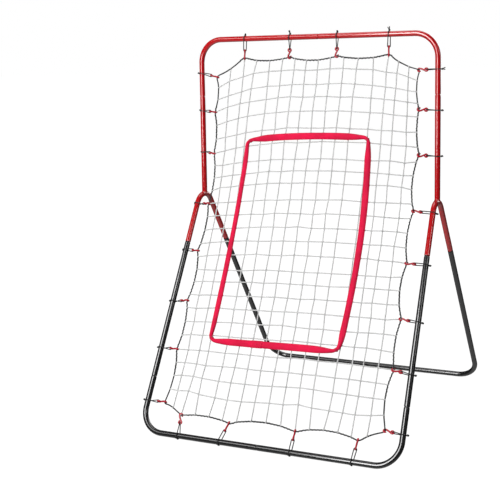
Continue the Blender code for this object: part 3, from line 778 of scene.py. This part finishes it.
def make_hooks(sites):
    shared = hook_mesh()
    for name, _, _, rope_point, (out, across, facing, _), _ in sites:
        hook = placed(f"hook_{name}_moulded", shared)
        hook.matrix_world = Matrix.Translation(Vector(rope_point)) @ Matrix(
            np.array([out, across, facing]).T.tolist()).to_4x4()
        settle(hook, "net_assembly", [f"hook_{name}"])


def knot(centre, axis, aside, size):
    """A tight overhand knot: the path of a small trefoil."""
    axis = unit(axis)
    aside = unit(aside - axis * (aside @ axis))
    third = np.cross(axis, aside)
    t = circle(30)[:, None]
    flat = (np.sin(t) + 2 * np.sin(2 * t)) * aside + (np.cos(t) - 2 * np.cos(2 * t)) * third
    return centre + size * (flat - 1.3 * np.sin(3 * t) * axis)


def make_loops(sites):
    """Elastic cord round the tube and through the hook's eye, tied on the tube's far side."""
    for name, start, tube_way, rope_point, (out, _, facing, front), _ in sites:
        across_tube = towards(unit(np.cross(front, tube_way)), out)
        facing = towards(facing, front)
        radius = TUBE_R + LOOP_GAP + CORD_R

        def on_tube(angle, reach=radius):
            return start - reach * (across_tube * math.cos(angle) - front * math.sin(angle))

        low = name.startswith("bottom")
        knot_angle = math.radians(LOW_KNOT_DEG if low else 0)
        leaves = math.radians(LOOP_LEAVES_DEG)
        steps = np.radians(np.linspace(-LOOP_WRAP_DEG, LOOP_WRAP_DEG, 29))
        tied = on_tube(knot_angle, radius + 0.0012)
        wrap = [on_tube(a) for a in steps if a < knot_angle - leaves] + [tied]
        wrap += [on_tube(a) for a in steps if a > knot_angle + leaves]
        reach = np.linalg.norm(rope_point - start) - EYE_TO_ROPE - EYE_R
        turn_r = WIRE_R + 0.0001 + LOOK_CORD_R
        eye = [start + out * (reach + turn_r * math.cos(a)) + facing * turn_r * math.sin(a)
               for a in np.radians(np.arange(90, -91, -15))]
        pile = Pile()
        path = evenly(softened(wrap + eye, 2, True), CORD_STEP, True)
        pile.add(*sweep(path, ring(8, LOOK_CORD_R), tube_way, closed=True))
        outward = unit(tied - start)
        centre = tied + outward * 0.0014
        aside = unit(tube_way)
        tie = knot(centre, outward, aside, LOOP_KNOT_SIZE)
        pile.add(*sweep(tie, ring(7, LOOK_CORD_R * 0.9), outward, closed=True))
        lean = rng.uniform(-0.35, 0.35)
        for sign in (-1, 1):
            spread_out = aside * (0.30 * sign + lean) + front * rng.uniform(0.0, 0.3) * (0 if low else 1)
            tail_way = unit(outward + spread_out)
            bow = unit(spread_out + outward * 0.6)
            length = rng.uniform(*(LONG_TAIL if name in LONG_TAILS else SHORT_TAIL))
            tail = [centre + tail_way * length * t + bow * TAIL_BOW * t * t for t in np.linspace(0.1, 1, 7)]
            pile.add(*sweep(tail, ring(7, LOOK_CORD_R), front, scale=[1] * 6 + [0.82]))
        loop = pile.piece(f"loop_{name}_cord", [ELASTIC], [f"loop_{name}"], None)
        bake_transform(loop)


# -------- net


def uneven(pull, count, longer, shorter):
    """Each mesh's pull, less where it is a little longer and more where it is shorter."""
    return [pull + UNEVEN_PULL * ((k in shorter) - (k in longer)) for k in range(count)]


def net_shape(sites):
    """Where the taut net and its rope rest: each knot is balanced by the pulls of the cords that meet there.
    Places are counted in half meshes, and the rope has a point at every half mesh."""
    rope = ([(c, 0) for c in range(WIDE)] + [(WIDE, r) for r in range(TALL)]
            + [(c, TALL) for c in range(WIDE, 0, -1)] + [(0, r) for r in range(TALL, 0, -1)])
    knots = rope + [(c, r) for c in range(2, WIDE, 2) for r in range(2, TALL, 2)]
    number = {place: k for k, place in enumerate(knots)}
    ties = []
    for a, b in zip(rope, rope[1:] + rope[:1]):
        ties.append((a, b, SIDE_ROPE_PULL if a[0] == b[0] else END_ROPE_PULL))
    row_pulls = uneven(ROW_PULL, COLUMNS, LONG_COLUMNS, SHORT_COLUMNS)
    row_pulls[0] = row_pulls[-1] = END_COLUMN_PULL
    for r in range(2, TALL, 2):
        ties += [((c, r), (c + 2, r), row_pulls[c // 2]) for c in range(0, WIDE, 2)]
    column_pulls = uneven(COLUMN_PULL, ROWS, LONG_ROWS, SHORT_ROWS)
    column_pulls[0], column_pulls[-1] = FIRST_ROW_PULL, LAST_ROW_PULL
    for c in range(2, WIDE, 2):
        ties += [((c, r), (c, r + 2), column_pulls[r // 2]) for r in range(0, TALL, 2)]
    held = {number[place]: rope_point for _, _, _, rope_point, _, place in sites}
    pulls = np.zeros((len(knots), len(knots)))
    for a, b, pull in ties:
        a, b = number[a], number[b]
        if (a in held) != (b in held) and max(a, b) >= len(rope):
            pull *= HOOK_SLACK
        pulls[a, a] += pull
        pulls[b, b] += pull
        pulls[a, b] -= pull
        pulls[b, a] -= pull
    fixed = sorted(held)
    free = [k for k in range(len(knots)) if k not in held]
    at = np.zeros((len(knots), 3))
    at[fixed] = [held[k] for k in fixed]
    at[free] = np.linalg.solve(pulls[np.ix_(free, free)], -pulls[np.ix_(free, fixed)] @ at[fixed])
    return {place: at[k] for place, k in number.items()}, rope


def net_point(shape, column, row):
    """A point on the net, between its knots."""
    c, r = int(column), int(row)
    upper = along(shape[(2 * c, 2 * r)], shape[(2 * c + 2, 2 * r)], column - c)
    lower = along(shape[(2 * c, 2 * r + 2)], shape[(2 * c + 2, 2 * r + 2)], column - c)
    return along(upper, lower, row - r)


def net_normal(shape, column, row):
    """The net's outward normal, towards the thrower."""
    to_right = net_point(shape, column + 0.5, row) - net_point(shape, column - 0.5, row)
    down = net_point(shape, column, row + 0.5) - net_point(shape, column, row - 0.5)
    return towards(unit(np.cross(down, to_right)), (0, -1, 0))


def string_path(knots):
    """Straight from knot to knot, a point every few millimetres."""
    path = [knots[0]]
    for a, b in zip(knots, knots[1:]):
        count = max(int(round(np.linalg.norm(b - a) / CORD_STEP)), 2)
        path += [along(a, b, k / count) for k in range(1, count + 1)]
    return np.array(path)


def make_net(shape):
    """Twisted cords both ways, held together where they cross."""
    worked = dict(shape)
    for place in shape:
        if 0 < place[0] < WIDE and 0 < place[1] < TALL:
            worked[place] = shape[place] + rng.normal(0, KNOT_WANDER, 3) * (1, 0.4, 1)
    section = ring(6, NET_CORD_R, 3, 0.09)
    for name, strings in (
            ("net_upright_cords", [[(2 * c, 2 * r) for r in range(ROWS + 1)] for c in range(1, COLUMNS)]),
            ("net_level_cords", [[(2 * c, 2 * r) for c in range(COLUMNS + 1)] for r in range(1, ROWS)])):
        pile = Pile()
        for string in strings:
            path = string_path([worked[place] for place in string])
            turns = lengths_along(path)[-1] / NET_CORD_PITCH
            pile.add(*sweep(path, section, (0, 1, 0.3), turns=turns))
        pile.piece(name, [NET_CORD], ["net"] if "upright" in name else [])
    make_net_joints(worked)
    return worked


def make_net_joints(worked):
    """Four short strands over each crossing, two in front and two behind."""
    pile = Pile()
    reach = np.linspace(-1, 1, 6)
    hump = np.sqrt(np.clip(1 - (0.93 * reach) ** 2, 0, None))
    for c in range(2, WIDE, 2):
        for r in range(2, TALL, 2):
            at = worked[(c, r)]
            level = unit(worked[(c + 2, r)] - worked[(c - 2, r)])
            upright = unit(worked[(c, r + 2)] - worked[(c, r - 2)])
            normal = unit(np.cross(level, upright))
            for slant in (-1, 1):
                for face in (-1, 1):
                    path = (at + np.outer(reach * JOINT_REACH, level + upright * slant)
                            + np.outer(hump * face * (JOINT_HEIGHT + 0.0002 * slant), normal))
                    pile.add(*sweep(path, ring(5, JOINT_STRAND_R), normal))
    pile.piece("net_joints", [NET_CORD])


def rope_line(shape, rope, sites):
    """The rope's middle line, which threads each hook straight through."""
    threads = {place: facing for _, _, _, _, (_, _, facing, _), place in sites}
    path = []
    for k, place in enumerate(rope):
        if place in threads:
            travel = shape[rope[(k + 1) % len(rope)]] - shape[rope[k - 1]]
            through = towards(threads[place], travel) * ROPE_THREADING
            path += [shape[place] - through, shape[place] + through]
        else:
            path.append(shape[place])
    return evenly(softened(path, 3, True), ROPE_STEP, True)


def laid_round(line, first, second, radius, pitch, phase):
    """A line wound round another: a strand of a rope, or lacing on it."""
    angle = (2 * math.pi * (lengths_along(line) / pitch + phase))[:, None]
    return line + radius[:, None] * (first * np.cos(angle) + second * np.sin(angle))


def make_rope(shape, rope, sites):
    """A laid rope of three strands round the net, a little uneven in thickness."""
    line = rope_line(shape, rope, sites)
    _, first, second = path_axes(line, (0, 1, 0), True)
    length = lengths_along(line, True)[-1]
    pitch = length / round(length / ROPE_PITCH)
    count = np.arange(len(line))
    wobble = 1 + 0.07 * np.sin(count * 0.021) + 0.05 * np.sin(count * 0.057 + 1)
    pile = Pile()
    for strand in range(3):
        path = laid_round(line, first, second, ROPE_HELIX_R * wobble, pitch, strand / 3)
        pile.add(*sweep(path, ring(6, ROPE_STRAND_R), (0, 1, 0), closed=True, scale=wobble))
    pile.piece("border_rope_strands", [ROPE], ["border_rope"])
    return line, first, second


def make_lacing(line, first, second, shape):
    """A thin cord that winds round the rope along the net's four sides, but not across its corners."""
    corners = [shape[(c, r)] for c in (0, WIDE) for r in (0, TALL)]
    near_corner = np.min([np.linalg.norm(line - c, axis=1) for c in corners], axis=0) < LACE_GAP
    core = (ROPE_HELIX_R + ROPE_STRAND_R) * 0.97
    pile = Pile()
    starts = [k for k in range(len(line)) if near_corner[k - 1] and not near_corner[k]]
    for k in starts:
        count = int(np.argmax(np.roll(near_corner, -k)))
        span = (k + np.arange(count)) % len(line)
        radius = np.full(count, core + LACE_R * 0.75)
        radius[:6] *= np.linspace(0.5, 1, 6)
        radius[-6:] *= np.linspace(1, 0.5, 6)
        path = laid_round(line[span], first[span], second[span], radius, LACE_PITCH, 0.1)
        pile.add(*sweep(path, ring(5, LACE_R), (0, 1, 0)))
    pile.piece("border_lacing", [LACE])


def make_hitches(worked):
    """Each net cord's ends, hitched round the rope with two turns."""
    ends = []
    for c in range(2, WIDE, 2):
        ends += [((c, r), (c - 1, r), (c + 1, r)) for r in (0, TALL)]
    for r in range(2, TALL, 2):
        ends += [((c, r), (c, r - 1), (c, r + 1)) for c in (0, WIDE)]
    pile = Pile()
    for place, before, after in ends:
        way = unit(worked[after] - worked[before])
        aside = unit(np.cross(way, (0, 1, 0.3)))
        third = np.cross(way, aside)
        t = circle(14)[:, None]
        for shift in (-0.0010, 0.0010):
            turn = (worked[place] + way * (shift + 0.0004 * np.sin(t))
                    + HITCH_R * (aside * np.cos(t) + third * np.sin(t)))
            pile.add(*sweep(turn, ring(6, HITCH_CORD_R), way, closed=True))
    pile.piece("net_hitches", [NET_CORD])


# -------- strap


def strap_outline():
    """The strap's middle line in net places: four rounded corners and a bowed right side."""
    top_left, top_right, bottom_right, bottom_left = STRAP_CORNERS
    middle = along(bottom_left, bottom_right, 0.5)
    corners = [middle, bottom_left, top_left, top_right, bottom_right, middle]
    outline = evenly(rounded_path(corners, [STRAP_CORNER] * 4, 12), STRAP_STEP / MESH_SIZE)[:-1]
    down = np.clip((outline[:, 1] - top_right[1]) / (bottom_right[1] - top_right[1]), 0, 1)
    outline[:, 0] += STRAP_BOW * np.sin(math.pi * down) * eased(np.clip(outline[:, 0] - middle[0] - 2, 0, 1))
    return outline


def strap_frame(shape):
    """(line, out, across, curl) along the strap: where it is, which way is off the net, which way is across
    it, and how far its edges curl back, in radians. It is drawn together at its corners."""
    outline = strap_outline()
    line = np.array([net_point(shape, c, r) for c, r in outline])
    line = softened(softened(line, 1, True)[::2], 1, True)[::2]
    out = np.array([net_normal(shape, c, r) for c, r in outline])
    tangents, _, _ = path_axes(line, (0, 1, 0), True)
    across = unit(np.cross(out, tangents))
    out = np.cross(tangents, across)
    middle = np.mean(STRAP_CORNERS, axis=0)
    pinch = np.zeros(len(line))
    for corner in STRAP_CORNERS:
        inner = corner + np.sign(middle - corner) * STRAP_CORNER * (1 - math.sqrt(0.5))
        near = np.linalg.norm(outline - inner, axis=1) * MESH_SIZE
        pinch = np.maximum(pinch, np.clip(1 - near / PINCH_REACH, 0, 1) ** 1.6)
    way = np.roll(outline, -1, axis=0) - np.roll(outline, 1, axis=0)
    upright = eased(np.abs(way[:, 1]) / np.linalg.norm(way, axis=1))
    side_curl = np.where(outline[:, 0] < middle[0], *SIDE_CURLS)
    count = np.arange(len(line))
    drift = 1 + 0.10 * np.sin(count * 0.045) + 0.06 * np.sin(count * 0.17 + 2)
    curl = along(LEVEL_CURL, side_curl, upright) * drift
    return line, out, across, along(curl, PINCH_CURL, pinch)


def strap_place(strap, k, q, lift):
    """The place at station k, q of the way across from -1 to 1, lifted off the strap's own middle."""
    line, out, across, curl = strap
    radius = STRAP_WIDTH / curl[k]
    angle = q * curl[k] / 2
    rise = (radius + lift) * math.cos(angle) - radius * math.cos(curl[k] / 2)
    return line[k] + across[k] * (radius + lift) * math.sin(angle) + out[k] * (STRAP_LIFT + rise)


def webbing_layer(strap, stations, low, high):
    """(points, faces, places) of a layer of webbing between two lifts, over some stations."""
    line = strap[0]
    across_q = np.linspace(-1, 1, 15)
    middle = (low + high) / 2
    outline = [(-1.01, middle), *((q, low) for q in across_q), (1.01, middle),
               *((q, high) for q in across_q[::-1])]
    closed = len(stations) == len(line)
    rings = np.array([[strap_place(strap, k, q, lift) for q, lift in outline] for k in stations])
    points, faces, places = skin(rings, lengths_along(line[stations], closed), closed)
    share = np.array([(q + 1) / 2 for q, _ in outline])
    quads = places[:len(places) - (0 if closed else 2 * len(outline))].reshape(-1, len(outline), 4, 2)
    quads[:, :, (0, 3), 1] = share[:, None]
    quads[:, :, (1, 2), 1] = np.roll(share, -1)[:, None]
    return points, faces, places


def make_strap(shape):
    """One band of webbing, lapped and sewn at its lower run, and drawn together at each corner."""
    strap = strap_frame(shape)
    half = STRAP_THICKNESS / 2
    pile = Pile()
    pile.add(*webbing_layer(strap, np.arange(len(strap[0])), -half, half))
    lap = np.arange(8, 8 + round(STRAP_LAP / STRAP_STEP))
    pile.add(*webbing_layer(strap, lap, half + 0.0001, half + 0.0001 + STRAP_THICKNESS))
    pile.piece("strike_zone_strap_webbing", [WEBBING], ["strike_zone_strap"], sharp_deg=60)
    make_strap_thread(strap, lap)


def make_strap_thread(strap, lap):
    """The strap's thread: a sewn box and cross where it laps, and a whipping round each drawn-in corner."""
    line, out, across, curl = strap
    pile = Pile()
    first, last = lap[1], lap[-2]
    box = [(first, -0.7), (last, -0.7), (last, 0.7), (first, 0.7)]
    seam = [*box, box[0], box[2], box[1], box[3]]
    lift = STRAP_THICKNESS * 1.5 + 0.0003
    path = []
    for a, b in zip(seam, seam[1:]):
        for t in np.linspace(0, 1, 25):
            k, q = along(a, b, t)
            stitch = lift + SEAM_STITCH * math.sin(t * 75)
            low, high = [strap_place(strap, int(k) + ahead, q, stitch) for ahead in (0, 1)]
            path.append(along(low, high, k - int(k)))
    pile.add(*sweep(evenly(np.array(path), 0.0008), ring(5, SEAM_THREAD_R), out[first]))
    tightest = [k for k in range(len(line)) if curl[k] > PINCH_CURL * 0.9 and curl[k] >= curl[k - 1]
                and curl[k] > curl[(k + 1) % len(line)]]
    for k in tightest:
        way = unit(line[(k + 1) % len(line)] - line[k - 1])
        t = circle(26)[:, None]
        for turn in range(WHIPPING_TURNS):
            centre = line[k] + way * (turn - (WHIPPING_TURNS - 1) / 2) * WHIPPING_PITCH + out[k] * 0.0052
            loop = (centre + across[k] * WHIPPING_REACH[0] * np.cos(t)
                    + (out[k] * WHIPPING_REACH[1] + way * 0.0005) * np.sin(t))
            pile.add(*sweep(loop, ring(6, WHIPPING_R), way, closed=True))
    pile.piece("strap_whippings", [THREAD])


# -------- stage


def make_camera():
    """From the thrower's right, a little above the net's middle, turned slightly about the view's axis."""
    data = bpy.data.cameras.new("camera")
    data.lens = LENS_MM
    data.shift_x, data.shift_y = LENS_SHIFT
    camera = placed("camera", data)
    azimuth, elevation, roll = [math.radians(angle) for angle in VIEW_DEG]
    turn = (Matrix.Rotation(azimuth, 4, "Z") @ Matrix.Rotation(math.pi / 2 - elevation, 4, "X")
            @ Matrix.Rotation(roll, 4, "Z"))
    target = Matrix.Translation((0, ARCH_Y, VIEW_HEIGHT + FRONT_BAR_Z))
    camera.matrix_world = target @ turn @ Matrix.Translation((0, 0, VIEW_DISTANCE))
    bpy.context.scene.camera = camera
    bpy.context.scene.view_settings.view_transform = "Standard"


def make_floor():
    """A plain, pale floor that stays pale to its far edge."""
    mesh = bpy.data.meshes.new("floor")
    corners = [(x * FLOOR_HALF, y * FLOOR_HALF, 0) for x, y in ((-1, -1), (1, -1), (1, 1), (-1, 1))]
    mesh.from_pydata(corners, [], [(0, 1, 2, 3)])
    material, tree = new_material("floor", specular_ior_level=0.0, emission_color=(1, 1, 1, 1))
    shader = tree.nodes["Principled BSDF"]
    place = add(tree, "TexCoord").outputs["Object"]
    away = add(tree, "VectorMath", {0: place}, operation="LENGTH").outputs["Value"]
    tree.links.new(spread(tree, away, 0.945, 1.0, 1.5, 5.0), shader.inputs["Emission Strength"])
    shade = blended(tree, noise(tree, 1.5), (0.11, 0.11, 0.11), (0.13, 0.13, 0.13))
    tree.links.new(shade, shader.inputs["Base Color"])
    tree.links.new(spread(tree, noise(tree, 40.0), 0.75, 0.85), shader.inputs["Roughness"])
    mesh.materials.append(material)
    floor = placed("floor", mesh)
    floor.visible_glossy = False
    floor.visible_diffuse = False


def make_lights():
    for name, place, target, width, height, power in LIGHTS:
        data = bpy.data.lights.new(name, "AREA")
        data.shape = "RECTANGLE"
        data.size = width
        data.size_y = height
        data.energy = power
        light = placed(name, data)
        light.location = place
        light.rotation_euler = (Vector(target) - Vector(place)).to_track_quat("-Z", "Y").to_euler()


def make_world():
    """A white background, and a dimmer studio over a pale floor for the tubes to reflect."""
    world = bpy.data.worlds.new("studio")
    bpy.context.scene.world = world
    world.use_nodes = True
    tree = world.node_tree
    seen = add(tree, "LightPath").outputs["Is Camera Ray"]
    height = add(tree, "SeparateXYZ", {0: add(tree, "TexCoord").outputs["Generated"]}).outputs["Z"]
    room = blended(tree, spread(tree, height, 0, 1, 0.0, 0.8), (0.045, 0.045, 0.047), (0.10, 0.10, 0.105))
    room = blended(tree, spread(tree, height, 0, 1, -0.35, -0.8), room, (0.55, 0.55, 0.55))
    tree.links.new(blended(tree, seen, room, (1.0, 1.0, 1.0)), tree.nodes["Background"].inputs["Color"])


def main():
    make_camera()
    make_floor()
    make_world()
    make_lights()
    sites = hook_sites()
    shape, rope = net_shape(sites)
    make_frame()
    make_hooks(sites)
    make_loops(sites)
    worked = make_net(shape)
    line, first, second = make_rope(shape, rope, sites)
    make_lacing(line, first, second, shape)
    make_hitches(worked)
    make_strap(shape)


main()
